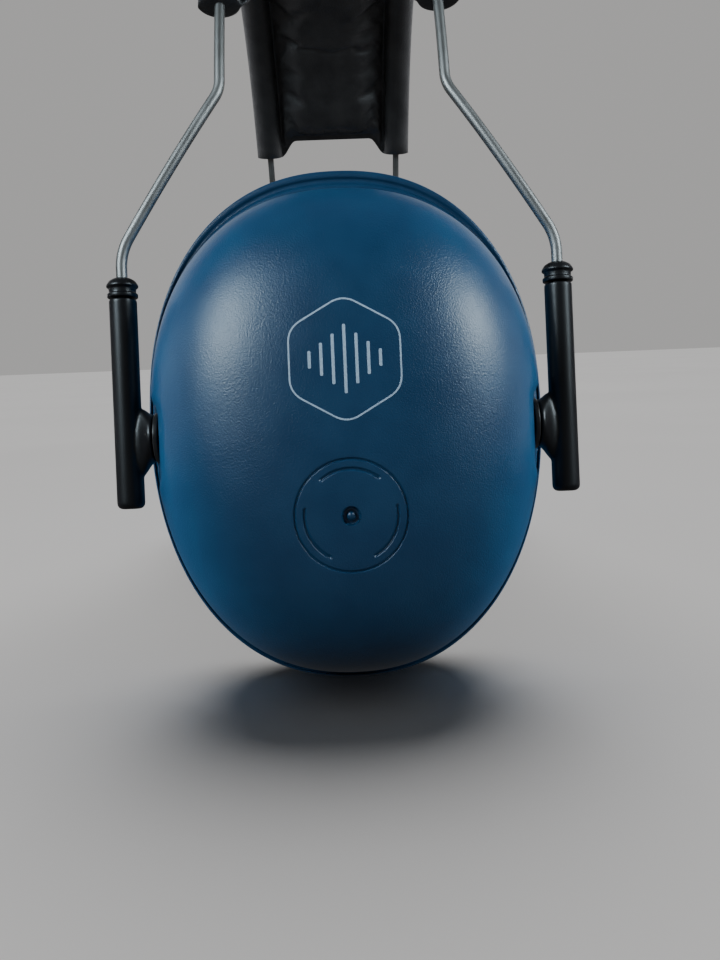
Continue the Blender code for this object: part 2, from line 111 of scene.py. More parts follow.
# Scoops in the dome's sides for the arms' bosses, and the thicker wall behind them
SCOOP_FLOOR_V = 38.0 * MM
SCOOP_FLOOR_U = 5.4 * MM  # the floor is level up to here, and slopes in above
SCOOP_SLOPE = 0.30
SCOOP_MIDDLE_W = -2.0 * MM
SCOOP_HALF_HEIGHT = 6.2 * MM
SCOOP_END_RADIUS = 9.0 * MM
SCOOP_LOW_U = -5.3 * MM
SCOOP_LOW_RADIUS = 0.45 * MM
SCOOP_BLEND = 0.35 * MM
BACKING_V = 35.6 * MM
BACKING_RADIUS = 7.4 * MM
BACKING_SLOPE = 2.5
BACKING_BLEND = 0.3 * MM

# Moulded medallion and printed motif on the dome
MEDALLION_W = -16.75 * MM
NUB_RADIUS = 0.95 * MM
RECESS_RADIUS = 1.8 * MM
RECESS_DEPTH = 1.1 * MM
NUB_HEIGHT = 0.88 * MM
ARC_RADIUS = 8.55 * MM
ARC_HALF_WIDTH = 0.42 * MM
ARC_DEPTH = 0.38 * MM
ARC_SPANS = ((11, -62), (129, 51), (242, 169))  # degrees, from and to
RING_RADIUS = 10.35 * MM
RING_HALF_WIDTH = 0.32 * MM
RING_DEPTH = 0.34 * MM
MOTIF_W = 11.7 * MM
MOTIF_RADIUS = 11.7 * MM
MOTIF_CORNER = 3.2 * MM
MOTIF_LINE_HALF_WIDTH = 0.16 * MM
MOTIF_BARS = (2.6, 5.4, 8.6, 12.0, 8.6, 5.4, 2.6)  # millimetres tall
MOTIF_BAR_SPACING = 2.15 * MM
MOTIF_BAR_HALF_WIDTH = 0.29 * MM
MOTIF_STEP = 0.4 * MM  # between the points of a printed line
COLUMNS = 320  # of the shell's grid, round the medallion's centre

# Cushions, plates and liners
PLATE_TOP_U = RIM_U - 0.3 * MM
PLATE_BACK_U = PLATE_TOP_U - 2.2 * MM
PLATE_LIP_U = RIM_U + 3.0 * MM
CUSHION_BACK_U = PLATE_BACK_U - 0.3 * MM
CUSHION_THICKNESS = 12.5 * MM
WELD_RIB_HEIGHT = 0.10 * MM
WELD_TYPICAL_RADIUS = 40 * MM
LINER_EDGE_U = 6.0 * MM
LINER_GAP = 0.5 * MM
LINER_THICKNESS = 6.0 * MM
LINER_EDGE_CROWN = 0.8 * MM
LINER_LUMPS = 0.7 * MM

# Arms, bushes and pivots
ARM_V = 45.3 * MM
ARM_RADIUS = 2.85 * MM
ARM_TOP_W = 29.0 * MM
ARM_BOTTOM_W = -14.4 * MM
ARM_BORE_RADIUS = 2.0 * MM
BOSS_FACE_V = 39.7 * MM
BUSH_TOP_W = 33.3 * MM
BUSH_RADIUS = 3.25 * MM
BUSH_BORE_RADIUS = 1.45 * MM

# Wires and headband pad
WIRE_RADIUS = 1.15 * MM
WIRE_HALF_SPACING = 24.0 * MM
WIRE_CROWN_HEIGHT = 6.5 * MM
UPPER_BEND_W = 73.8 * MM
LOWER_BEND_W = 38.8 * MM
UPPER_BEND_RADIUS = 8.0 * MM
LOWER_BEND_RADIUS = 12.0 * MM
WIRE_END_W = -9.0 * MM
WIRE_STEP = 0.9 * MM  # between the points of a wire's line
UPSET_RADIUS = 1.6 * MM  # of the wire's swollen end, inside the arm
UPSET_POINTS = 5
PAD_LOBE_RADIUS = 4.8 * MM
PAD_END_ANGLE = math.radians(52.5)
PAD_NOTCH = 6.0 * MM
PAD_SEAM = 18.9 * MM  # from the pad's middle to the weld beside each wire's lobe

# Camera, lights and floor
CAMERA_PLACE = (-0.2865, 0.0011, -0.1193)
CAMERA_YAW = math.radians(-1.03)
CAMERA_PITCH = math.radians(-7.6)
CAMERA_ROLL = math.radians(-2.25)
CAMERA_LENS = 34.0
FLOOR_HALF = 25.0
WHITE = (1.0, 1.0, 1.0)
FRONT_BOXES = (  # name, direction, size, power and tint
    ("left", (-0.60, 0.66, 0.46), (0.26, 0.32), 1.75, (0.74, 0.90, 1.0)),
    ("right", (-0.47, -0.80, 0.42), (0.22, 0.28), 1.45, (0.76, 0.91, 1.0)),
)


# Meshes


def grid_faces(rows, columns, wrap_rows=False, wrap_columns=True):
    """The quads of a grid of points that are numbered row by row."""
    row = np.arange(rows if wrap_rows else rows - 1)
    column = np.arange(columns if wrap_columns else columns - 1)
    row, column = np.meshgrid(row, column, indexing="ij")
    next_row = (row + 1) % rows
    next_column = (column + 1) % columns
    corners = (
        row * columns + column,
        row * columns + next_column,
        next_row * columns + next_column,
        next_row * columns + column,
    )
    return np.stack(corners, -1).reshape(-1, 4).tolist()


def linked(name, data):
    """A new object of this mesh, light or camera, in the scene."""
    made = bpy.data.objects.new(name, data)
    bpy.context.scene.collection.objects.link(made)
    return made


def make_piece(name, shape, material, sharp=None):
    """One smooth-shaded object of points and faces, in one of the table's materials."""
    points, faces = shape
    made, slot = MATERIALS[material]
    mesh = bpy.data.meshes.new(name)
    mesh.from_pydata(np.asarray(points, float).tolist(), [], faces)
    turn_outwards(mesh)
    mesh.shade_smooth()
    if sharp is not None:
        mesh.set_sharp_from_angle(angle=math.radians(sharp))
    mesh.materials.append(made)
    piece = linked(name, mesh)
    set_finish(piece, slot)
    return piece


def turn_outwards(mesh):
    bm = bmesh.new()
    bm.from_mesh(mesh)
    bmesh.ops.recalc_face_normals(bm, faces=bm.faces)
    bm.to_mesh(mesh)
    bm.free()


def revolved_rows(rows, closed=True):
    """Points and faces of rows of points, closed by a fan at each end or joined end to end."""
    count, columns = rows.shape[:2]
    points = rows.reshape(-1, 3)
    faces = grid_faces(count, columns, wrap_rows=not closed)
    if closed:
        first, last = len(points), len(points) + 1
        points = np.vstack([points, rows[0].mean(axis=0), rows[-1].mean(axis=0)])
        around = np.arange(columns)
        after = (around + 1) % columns
        end = (count - 1) * columns
        faces += [[first, int(b), int(a)] for a, b in zip(around, after)]
        faces += [[last, int(end + a), int(end + b)] for a, b in zip(around, after)]
    return points, faces


def strip(lines, closed=False):
    """Points and faces between lines that run side by side, joined end to end or capped."""
    points = np.stack(lines, 1)
    length, columns = points.shape[:2]
    faces = grid_faces(length, columns, wrap_rows=closed)
    if not closed:
        last = (length - 1) * columns
        faces += [list(range(columns)), list(range(last, last + columns))]
    return points.reshape(-1, 3), faces


def full_turn(count):
    """Evenly spaced angles all the way round."""
    return np.arange(count) * 2 * math.pi / count


def turned_rows(profile, count, axis="w"):
    """Rows round an axis of a side's frame from (radius, height) pairs."""
    angle = full_turn(count)
    rows = []
    for radius, height in profile:
        a, b = radius * np.cos(angle), radius * np.sin(angle)
        h = np.full(count, height)
        rows.append(np.stack((a, b, h) if axis == "w" else (a, h, b), -1))
    return np.array(rows)


def eased(corners, ease, steps=4):
    """A polyline whose inner corners are rounded by short curves."""

    def set_back(corner, neighbour):
        arm = neighbour - corner
        length = np.linalg.norm(arm)
        return corner + arm * (min(ease, 0.45 * length) / length)

    corners = [np.array(corner, float) for corner in corners]
    points = [corners[0]]
    for before, corner, after in zip(corners, corners[1:], corners[2:]):
        start, end = set_back(corner, before), set_back(corner, after)
        for i in range(steps + 1):
            t = i / steps
            points.append((1 - t) ** 2 * start + 2 * t * (1 - t) * corner + t**2 * end)
    return points + [corners[-1]]


def modify(piece, kind, **settings):
    """Gives a piece a modifier with these settings."""
    modifier = piece.modifiers.new(kind.lower(), kind)
    for name, value in settings.items():
        setattr(modifier, name, value)


def evaluated(piece):
    """Replaces a piece's mesh by what its modifiers make of it."""
    graph = bpy.context.evaluated_depsgraph_get()
    mesh = bpy.data.meshes.new_from_object(piece.evaluated_get(graph))
    old = piece.data
    piece.modifiers.clear()
    piece.data = mesh
    bpy.data.meshes.remove(old)
    mesh.shade_smooth()
    return piece


def coordinates(mesh):
    flat = np.empty(len(mesh.vertices) * 3)
    mesh.vertices.foreach_get("co", flat)
    return flat.reshape(-1, 3)


def set_coordinates(mesh, points):
    mesh.vertices.foreach_set("co", np.asarray(points, np.float32).ravel())
    mesh.update()


def smooth_step(value):
    value = np.clip(value, 0, 1)
    return value * value * (3 - 2 * value)


# Materials


def feed(node, **inputs):
    """Sets a node's sockets to values, or links them to other nodes' outputs."""
    for name, given in inputs.items():
        socket = node.inputs[name.replace("_", " ")]
        if isinstance(given, bpy.types.NodeSocket):
            node.id_data.links.new(given, socket)
        else:
            socket.default_value = given
    return node


def add_node(tree, kind, **inputs):
    return feed(tree.nodes.new(kind), **inputs)


def noise_height(tree, scale, detail=2.0, stretch=None):
    """A noise texture in the piece's own coordinates, in features for each metre."""
    source = add_node(tree, "ShaderNodeTexCoord").outputs["Object"]
    if stretch:
        source = add_node(tree, "ShaderNodeMapping", Vector=source, Scale=stretch).outputs[0]
    texture = add_node(tree, "ShaderNodeTexNoise", Vector=source, Scale=scale, Detail=detail)
    return texture.outputs["Fac"]


def cell_height(tree, scale, feature="DISTANCE_TO_EDGE"):
    source = add_node(tree, "ShaderNodeTexCoord").outputs["Object"]
    texture = add_node(tree, "ShaderNodeTexVoronoi", Vector=source, Scale=scale)
    texture.feature = feature
    return texture.outputs["Distance"]


def ranged(tree, source, low, high, from_low=0.0, from_high=1.0):
    node = add_node(tree, "ShaderNodeMapRange", Value=source)
    for index, value in enumerate((from_low, from_high, low, high), start=1):
        node.inputs[index].default_value = value
    return node.outputs["Result"]


def ramped(tree, source, stops):
    """A colour for each level of the source."""
    node = add_node(tree, "ShaderNodeValToRGB", Fac=source)
    ramp = node.color_ramp
    while len(ramp.elements) < len(stops):
        ramp.elements.new(0.5)
    for element, (place, colour) in zip(ramp.elements, stops):
        element.position = place
        element.color = (*colour, 1)
    return node.outputs["Color"]


def bumped(tree, height, strength, distance, **under):
    """A surface normal for this height, over the one given as Normal if there is one."""
    inputs = {"Height": height, "Strength": strength, "Distance": distance, **under}
    return add_node(tree, "ShaderNodeBump", **inputs).outputs["Normal"]


def start_material(name, **sockets):
    """A Principled material with these values on its own sockets."""
    made = bpy.data.materials.new(name)
    made.use_nodes = True
    shader = feed(made.node_tree.nodes["Principled BSDF"], **sockets)
    return made, made.node_tree, shader


def clouded(name, slot, cloud, tones, rough, grain=None, span=(0.3, 0.7), **sockets):
    """A material of softly varying colour and gloss, with a grain in relief if one is given.

    The cloud is a noise's scale and detail, and its stretch if it has one. Its tones are a ramp's
    stops, and its roughness goes from low to high over a span of the noise. The grain is a scale,
    a detail, a strength and a depth in millimetres.
    """
    made, tree, shader = start_material(name, **sockets)
    source = noise_height(tree, *cloud)
    roughness = ranged(tree, source, *rough, *span)
    feed(shader, Base_Color=ramped(tree, source, tones), Roughness=roughness)
    if grain:
        scale, detail, strength, depth = grain
        height = noise_height(tree, scale, detail)
        feed(shader, Normal=bumped(tree, height, strength, depth * MM))
    return made, slot


def vinyl(name, slot, cell, dark, fair):
    """Embossed leather grain: rounded cells between fine creases, over a soft unevenness."""
    made, tree, shader = start_material(name, IOR=1.52)
    crease = ranged(tree, cell_height(tree, 1.0 / cell), 0.0, 1.0, 0.0, 0.16)
    colour = ramped(tree, noise_height(tree, 180.0, 4.0), ((0.3, dark), (0.7, fair)))
    soft = bumped(tree, noise_height(tree, 420.0, 3.0), 0.35, 0.2 * MM)
    relief = bumped(tree, crease, 0.5, 0.07 * MM, Normal=soft)
    feed(shader, Base_Color=colour, Roughness=ranged(tree, crease, 0.58, 0.36), Normal=relief)
    return made, slot


def open_foam():
    """Open-cell polyurethane foam: pores darkened by painted shade between paler struts, over a
    pore relief.
    """
    made, tree, shader = start_material("grey_open_cell_foam", Roughness=0.95)
    pore_shade_and_depth = cell_height(tree, 1150.0, "F1")
    cloud = noise_height(tree, 300.0, 4.0)
    mix = add_node(tree, "ShaderNodeMix")
    mix.data_type = "RGBA"
    mix.blend_type = "MULTIPLY"
    mix.inputs[0].default_value = 1.0
    # painted shade: the pore ramp multiplies the foam's grey down to a quarter inside each pore
    tree.links.new(
        ramped(tree, pore_shade_and_depth, ((0.12, (0.25, 0.25, 0.25)), (0.55, (1.0, 1.0, 1.0)))), mix.inputs[6]
    )
    tree.links.new(
        ramped(tree, cloud, ((0.3, (0.10, 0.10, 0.105)), (0.7, (0.16, 0.16, 0.165)))), mix.inputs[7]
    )
    feed(shader, Base_Color=mix.outputs[2], Normal=bumped(tree, pore_shade_and_depth, 0.9, 0.5 * MM))
    return made, "grey_foam"


# Each material is named for what it is, and comes with the record's slot that it belongs to.
MATERIALS = {
    "shell": clouded(  # ABS with a fine spark-eroded grain
        "moulded_blue_plastic",
        "blue_cup_plastic",
        (120.0, 3.0),
        ((0.35, (0.002, 0.030, 0.077)), (0.65, (0.003, 0.036, 0.088))),
        (0.33, 0.37),
        (3300.0, 2.0, 0.8, 0.08),
        IOR=1.6,
    ),
    "print": clouded(
        "pale_print_ink",
        "blue_cup_plastic",
        (2500.0, 2.0),
        ((0.3, (0.26, 0.36, 0.47)), (0.7, (0.36, 0.46, 0.57))),
        (0.45, 0.6),
        span=(0.0, 1.0),
    ),
    "arm": clouded(  # glass-filled nylon: satin, with faint flow marks along the arm
        "black_arm_nylon",
        "black_arm_plastic",
        (260.0, 4.0, (1.0, 1.0, 0.2)),
        ((0.3, (0.003, 0.003, 0.004)), (0.75, (0.006, 0.006, 0.007))),
        (0.32, 0.42),
        (3000.0, 3.0, 0.22, 0.04),
        IOR=1.5,
    ),
    "stud": clouded(  # natural black acetal, smoother than the arms
        "black_stud_acetal",
        "pivot_plastic",
        (500.0, 3.0),
        ((0.3, (0.012, 0.012, 0.013)), (0.7, (0.02, 0.02, 0.021))),
        (0.26, 0.36),
        IOR=1.48,
    ),
    "plate": clouded(
        "dark_plate_plastic",
        "plate_plastic",
        (350.0, 3.0),
        ((0.3, (0.014, 0.015, 0.017)), (0.7, (0.022, 0.023, 0.026))),
        (0.42, 0.55),
        (2600.0, 2.0, 0.2, 0.04),
        IOR=1.5,
    ),
    "pad": vinyl(
        "black_pad_vinyl", "black_vinyl", 0.75 * MM, (0.011, 0.011, 0.012), (0.02, 0.02, 0.021)
    ),
    "skin": vinyl(
        "cushion_vinyl", "cushion_skin", 0.55 * MM, (0.013, 0.013, 0.014), (0.021, 0.021, 0.022)
    ),
    "foam": open_foam(),
    "steel": clouded(  # spring wire with a satin finish, its tone uneven from drawing
        "satin_stainless_wire",
        "stainless_wire",
        (160.0, 2.0),
        ((0.3, (0.27, 0.265, 0.255)), (0.7, (0.32, 0.315, 0.305))),
        (0.46, 0.52),
        Metallic=1.0,
    ),
}


# Ear cups


def level(v, w, sizes):
    """1 on the egg-shaped outline of these sizes, and less inside it."""
    half_width, above, below = sizes
    w = w - WIDEST_W
    tall = np.where(w > 0, above, below)
    power = np.where(w > 0, UPPER_POWER, LOWER_POWER)
    return ((np.abs(v) / half_width) ** power + (np.abs(w) / tall) ** power) ** (1 / power)


def dome_height(v, w, sizes=OUTER_SIZES, height=DOME_HEIGHT):
    rise = 1 - np.minimum(level(v, w, sizes), 1) ** DOME_POWER
    return FLANGE_TOP_U + height * rise ** (1 / DOME_POWER)


def dome_profile(angle):
    """Shares of the dome's outline and height, from its base at 0 to its top at 90 degrees."""
    return math.cos(angle) ** (2 / DOME_POWER), math.sin(angle) ** (2 / DOME_POWER)


DIRECTION = full_turn(COLUMNS)
ALONG_V, ALONG_W = np.cos(DIRECTION), np.sin(DIRECTION)


def reach(sizes):
    """From the medallion's centre to the outline of these sizes, in the grid's directions."""
    near, far = np.zeros(COLUMNS), np.full(COLUMNS, 0.2)
    for _ in range(40):
        middle = (near + far) / 2
        inside = level(middle * ALONG_V, MEDALLION_W + middle * ALONG_W, sizes) < 1
        near, far = np.where(inside, middle, near), np.where(inside, far, middle)
    return near


def row_at(distance, u):
    """A row of the shell's grid at these distances from the medallion's centre."""
    distance = np.broadcast_to(distance, (COLUMNS,))
    v, w = distance * ALONG_V, MEDALLION_W + distance * ALONG_W
    return np.stack((np.broadcast_to(u, (COLUMNS,)), v, w), -1)


def groove(radius, middle, half_width, depth):
    """Depth of a round-bottomed groove at these radii."""
    across = np.clip(np.abs(radius - middle) / half_width, 0, 1)
    return depth * (0.5 + 0.5 * np.cos(math.pi * across**1.4))


def arc_share():
    """1 in the directions that the medallion's inner arcs cover, and 0 between them."""
    angle = np.degrees(DIRECTION)
    share = np.zeros(COLUMNS)
    for high, low in ARC_SPANS:
        middle, half = (high + low) / 2, (high - low) / 2
        away = np.abs((angle - middle + 180) % 360 - 180)
        share = np.maximum(share, smooth_step((half - away) / 2.5 + 0.5))
    return share


def medallion_depth(radius, share):
    """How far the moulded medallion's surface lies below the dome."""
    wall = smooth_step((RECESS_RADIUS - radius) / (0.35 * MM))
    nub = np.sqrt(np.clip(1 - (radius / NUB_RADIUS) ** 2, 0, 1))
    depth = RECESS_DEPTH * wall - NUB_HEIGHT * nub
    depth += groove(radius, ARC_RADIUS, ARC_HALF_WIDTH, ARC_DEPTH) * share
    return depth + groove(radius, RING_RADIUS, RING_HALF_WIDTH, RING_DEPTH)


def medallion_radii():
    """The shell grid's radii on the medallion, crowded at its recess's wall and its grooves."""
    spans = (  # from, to and count, in millimetres
        (0.12, 0.9, 8),
        (0.95, 1.9, 11),
        (2.3, 8.0, 9),
        (8.08, 9.02, 13),
        (9.25, 9.9, 4),
        (10.0, 10.7, 12),
        (11.0, 13.4, 5),
    )
    return np.concatenate([np.linspace(*span) for span in spans]) * MM


def narrowed(row, limit, blend):
    """Keeps a row within this distance of the middle plane, with a rounded corner at the limit."""
    wide = np.abs(row[:, 1])
    share = np.clip(0.5 + 0.5 * (limit - wide) / blend, 0, 1)
    least = limit + (wide - limit) * share - blend * share * (1 - share)
    row[:, 1] = np.copysign(least, row[:, 1])
    return row


def scooped(row):
    """Cuts a smooth scoop into each side of the dome, where an arm's boss and pivot sit."""
    u, w = row[:, 0], row[:, 2]
    limit = SCOOP_FLOOR_V - SCOOP_SLOPE * np.maximum(u - SCOOP_FLOOR_U, 0)
    limit += np.maximum(np.abs(w - SCOOP_MIDDLE_W) - SCOOP_HALF_HEIGHT, 0) ** 2 / SCOOP_END_RADIUS
    limit += np.maximum(SCOOP_LOW_U - u, 0) ** 2 / SCOOP_LOW_RADIUS
    return narrowed(row, limit, SCOOP_BLEND)


def backed(row):
    """Thickens the wall inside behind each scoop."""
    beyond = np.maximum(np.hypot(row[:, 0], row[:, 2]) - BACKING_RADIUS, 0)
    return narrowed(row, BACKING_V + BACKING_SLOPE * beyond, BACKING_BLEND)


def dome_row(distance, *dome):
    """A row of the shell's grid that lies on the dome."""
    row = row_at(distance, 0)
    row[:, 0] = dome_height(row[:, 1], row[:, 2], *dome)
    return row


def outer_dome_rows():
    share = arc_share()
    rows = []
    for radius in medallion_radii():
        row = dome_row(radius)
        row[:, 0] -= medallion_depth(radius, share)
        rows.append(row)
    start = medallion_radii()[-1]
    shoulder = 0.8  # outline level where the dome starts to turn down its side
    out = reach(OUTER_SIZES * shoulder)
    for part in np.linspace(0, 1, 31)[1:]:
        rows.append(scooped(dome_row(start + (out - start) * part)))
    for angle in np.linspace(math.acos(shoulder ** (DOME_POWER / 2)), 0, 52)[1:]:
        across, rise = dome_profile(angle)
        row = row_at(reach(OUTER_SIZES * across), FLANGE_TOP_U + DOME_HEIGHT * rise)
        rows.append(scooped(row))
    return rows


def flange_rows():
    """The stepped flange under the dome, down to the rim's plane."""
    span = 3.0 * MM  # a typical distance from the rim to the dome's base, used only for easing
    corners = [(part * span, height * MM) for part, height in FLANGE_STEPS]
    rows = []
    for across, height in eased(corners, FLANGE_EASE)[1:]:
        sizes = RIM_SIZES + (OUTER_SIZES - RIM_SIZES) * (across / span)
        rows.append(row_at(reach(sizes), RIM_U + height))
    return rows


def inner_shell_rows():
    inner = DOME_SIZES - SHELL_WALL
    height = DOME_HEIGHT - SHELL_WALL
    rows = [row_at(reach(RIM_SIZES - 0.3 * MM), RIM_U), row_at(reach(inner + 0.3 * MM), RIM_U)]
    rows += [row_at(reach(inner), u) for u in np.linspace(RIM_U + 0.3 * MM, FLANGE_TOP_U, 5)]
    for angle in np.linspace(0, math.radians(62), 26)[1:]:
        across, rise = dome_profile(angle)
        rows.append(backed(row_at(reach(inner * across), FLANGE_TOP_U + height * rise)))
    last = reach(inner * across)
    for part in np.linspace(1, 0.04, 12)[1:]:
        rows.append(dome_row(last * part, inner, height))
    return rows


def make_shell(side, place):
    rows = np.array(outer_dome_rows() + flange_rows() + inner_shell_rows())
    shell = make_piece(f"{side}_cup_shell", revolved_rows(rows), "shell", sharp=60)
    settle(shell, place, f"{side}_cup", f"{side}_shell")


def settle(piece, place, body, *nodes):
    """Puts a piece that was made in a side's frame in its place, on its body, for its CAD nodes."""
    piece.matrix_world = place
    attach(piece, body)
    if nodes:
        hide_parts(*nodes)


# Printed motif


def on_dome(v, w, lift):
    """Points on the dome's surface, raised along its normal."""
    step = 0.05 * MM
    u = dome_height(v, w)
    slope_v = (dome_height(v + step, w) - dome_height(v - step, w)) / (2 * step)
    slope_w = (dome_height(v, w + step) - dome_height(v, w - step)) / (2 * step)
    normal = np.stack((np.ones_like(u), -slope_v, -slope_w), -1)
    normal /= np.linalg.norm(normal, axis=-1, keepdims=True)
    return np.stack((u, v, w), -1) + normal * lift


def ribbon(path, half_width, closed):
    """Points and faces of a thin raised strip on the dome along a (v, w) path."""
    path = np.asarray(path, float)
    half_width = np.broadcast_to(half_width, (len(path),))
    if closed:
        run = np.roll(path, -1, axis=0) - np.roll(path, 1, axis=0)
    else:
        run = np.gradient(path, axis=0)
    run /= np.linalg.norm(run, axis=1, keepdims=True)
    aside = np.stack((-run[:, 1], run[:, 0]), -1)
    rows = []
    for side, lift in ((-1, -0.03), (-0.96, 0.045), (0, 0.055), (0.96, 0.045), (1, -0.03)):
        v, w = (path + aside * (half_width * side)[:, None]).T
        rows.append(on_dome(v, w, lift * MM))
    return strip(rows, closed)


def hexagon_path(radius, corner):
    """An upright hexagon round the motif's centre with rounded corners."""
    angles = [math.radians(30 + 60 * i) for i in range(6)]
    corners = [np.array((radius * math.cos(a), radius * math.sin(a))) for a in angles]
    middles = [(a + b) / 2 for a, b in zip(corners, corners[1:] + corners[:1])]
    path = []
    for i in range(6):
        line = eased((middles[i - 1], corners[i], middles[i]), corner, 14)
        for start, end in zip(line, line[1:]):
            count = max(1, int(np.linalg.norm(end - start) / MOTIF_STEP))
            path += [start + (end - start) * k / count for k in range(count)]
    return np.array(path) + (0, MOTIF_W)


def bar_path(v, tall, half):
    """The line and half widths of an upright bar with round ends."""
    turn = np.linspace(-1, 1, 15)
    shape = np.sqrt(np.clip(1 - turn**2, 0.02, 1))
    ends = np.sin(turn * math.pi / 2)
    w = np.concatenate((-tall / 2 + half * ends[:8], tall / 2 + half * ends[7:]))
    width = np.concatenate((shape[:8], shape[7:])) * half
    between = np.linspace(-tall / 2, tall / 2, max(3, int(tall / MOTIF_STEP)))[1:-1]
    w = np.concatenate((w[:8], between, w[8:]))
    width = np.concatenate((width[:8], np.full(len(between), half), width[8:]))
    return np.stack((np.full(len(w), v), w + MOTIF_W), -1), width


def make_motif(side, place):
    """A generic sound-level mark: a rounded hexagon with upright bars."""
    parts = [ribbon(hexagon_path(MOTIF_RADIUS, MOTIF_CORNER), MOTIF_LINE_HALF_WIDTH, True)]
    for index, tall in enumerate(MOTIF_BARS):
        v = (index - len(MOTIF_BARS) // 2) * MOTIF_BAR_SPACING
        path, width = bar_path(v, tall * MM, MOTIF_BAR_HALF_WIDTH)
        parts.append(ribbon(path, width, False))
    motif = make_piece(f"{side}_cup_printed_motif", joined(parts), "print", sharp=40)
    settle(motif, place, f"{side}_cup")


def joined(parts):
    """One list of points and faces of several."""
    points, faces, count = [], [], 0
    for some, around in parts:
        points.append(some)
        faces += [[index + count for index in face] for face in around]
        count += len(some)
    return np.vstack(points), faces


# Cushions


def outline(sizes, u, count):
    """The egg-shaped outline as count points."""
    angle = full_turn(count)
    across, up = np.cos(angle), np.sin(angle)
    power = np.where(up > 0, UPPER_POWER, LOWER_POWER)
    tall = np.where(up > 0, sizes[1], sizes[2])
    v = sizes[0] * np.sign(across) * np.abs(across) ** (2 / power)
    w = WIDEST_W + tall * np.sign(up) * np.abs(up) ** (2 / power)
    return np.stack((np.full(count, u), v, w), -1)


def cushion_section():
    """A crowned section, pulled in where its skin is welded to the plate.

    Each point is a part of the way from the inner to the outer outline, an inset and a u.
    """
    section = []
    for angle in np.linspace(0, math.pi, 37):
        across, depth = math.cos(angle), math.sin(angle)
        part = 0.5 + 0.5 * math.copysign(abs(across) ** (2 / 2.7), across)
        deep = abs(depth) ** (2 / 2.3)
        tuck = 1.1 * MM * math.exp(-deep / 0.13)
        inset = math.copysign(tuck + 0.35 * MM, across)
        section.append((part, inset, CUSHION_BACK_U - 0.94 * CUSHION_THICKNESS * deep))
    for part in np.linspace(0, 1, 9)[1:-1]:
        section.append((part, (2 * part - 1) * 1.45 * MM, CUSHION_BACK_U))
    return section


CLOTH = {  # how a skin stretches, shears and bends as it swells
    "quality": 6,
    "mass": 0.3,
    "tension_stiffness": 20,
    "compression_stiffness": 20,
    "shear_stiffness": 8,
    "bending_stiffness": 1.2,
    "use_pressure": True,
    "vertex_group_mass": "held",
}


def inflate(piece, pinned, pressure, slack, cap, frames=20, scale=10.0):
    """Swells a closed skin by cloth simulation, with its pinned points held.

    The simulation runs at scale times the size, where it is stable. No point ends up further
    than cap from where it started.
    """
    start = coordinates(piece.data)
    set_coordinates(piece.data, start * scale)
    group = piece.vertex_groups.new(name="held")
    group.add([int(i) for i in np.nonzero(pinned)[0]], 1.0, "REPLACE")
    cloth = piece.modifiers.new("swell", "CLOTH")
    varying = {"uniform_pressure_force": pressure, "shrink_min": -slack}
    for name, value in {**CLOTH, **varying}.items():
        setattr(cloth.settings, name, value)
    cloth.settings.effector_weights.gravity = 0
    cloth.collision_settings.use_collision = False
    scene = bpy.context.scene
    for number in range(1, frames + 1):
        scene.frame_set(number)
    graph = bpy.context.evaluated_depsgraph_get()
    end = coordinates(piece.evaluated_get(graph).data) / scale
    piece.modifiers.clear()
    piece.vertex_groups.clear()
    scene.frame_set(1)
    moved = end - start
    far = np.linalg.norm(moved, axis=1, keepdims=True)
    moved *= np.where(far > cap, cap / np.maximum(far, 1e-12), 1.0)
    set_coordinates(piece.data, start + moved)


def subdivided(piece):
    modify(piece, "SUBSURF", levels=1, render_levels=1)
    return evaluated(piece)


def make_cushion_mesh():
    """The swollen skin of a cushion, made once for both cups."""
    across = RIM_SIZES - 1.5 * MM - EAR_SIZES
    rows = []
    for part, inset, u in cushion_section():
        rows.append(outline(EAR_SIZES + across * part - inset, u, 168))
    points, faces = revolved_rows(np.array(rows), closed=False)
    skin = make_piece("cushion_skin_pattern", (points, faces), "skin")
    held = points[:, 0] > CUSHION_BACK_U - 0.25 * MM
    inflate(skin, held, pressure=6.0, slack=0.03, cap=1.2 * MM)
    return subdivided(skin)


def make_cushion(side, place, pattern):
    skin = linked(f"{side}_cushion_cover", pattern.data.copy())
    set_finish(skin, "cushion_skin")
    settle(skin, place, f"{side}_cup", f"{side}_cushion_skin", f"{side}_cushion_foam")


def make_cushion_weld(side, place):
    """The flat welded edge round the back of the cushion, pressed with fine ribs."""
    count = 720
    outer = RIM_SIZES - 1.35 * MM
    section = (  # outwards and down from the outer back corner, in millimetres
        (0.0, 0.0),
        (0.25, 0.12),
        (0.25, 0.55),
        (0.0, 0.72),
        (-1.0, 0.72),
        (-1.3, 0.4),
        (-1.3, 0.0),
    )
    rows = []
    for out, depth in section:
        rows.append(outline(outer + out * MM, CUSHION_BACK_U - depth * MM, count))
    rows = np.array(rows)
    ribs = WELD_RIB_HEIGHT * (np.arange(count) % 4 < 2)
    rows[3:5, :, 0] -= ribs
    middle = rows[1:3].mean(axis=1, keepdims=True)
    rows[1:3] += (rows[1:3] - middle) * (0.8 * ribs / WELD_TYPICAL_RADIUS)[None, :, None]
    shape = revolved_rows(rows, closed=False)
    weld = make_piece(f"{side}_cushion_weld", shape, "skin", sharp=50)
    settle(weld, place, f"{side}_cup")


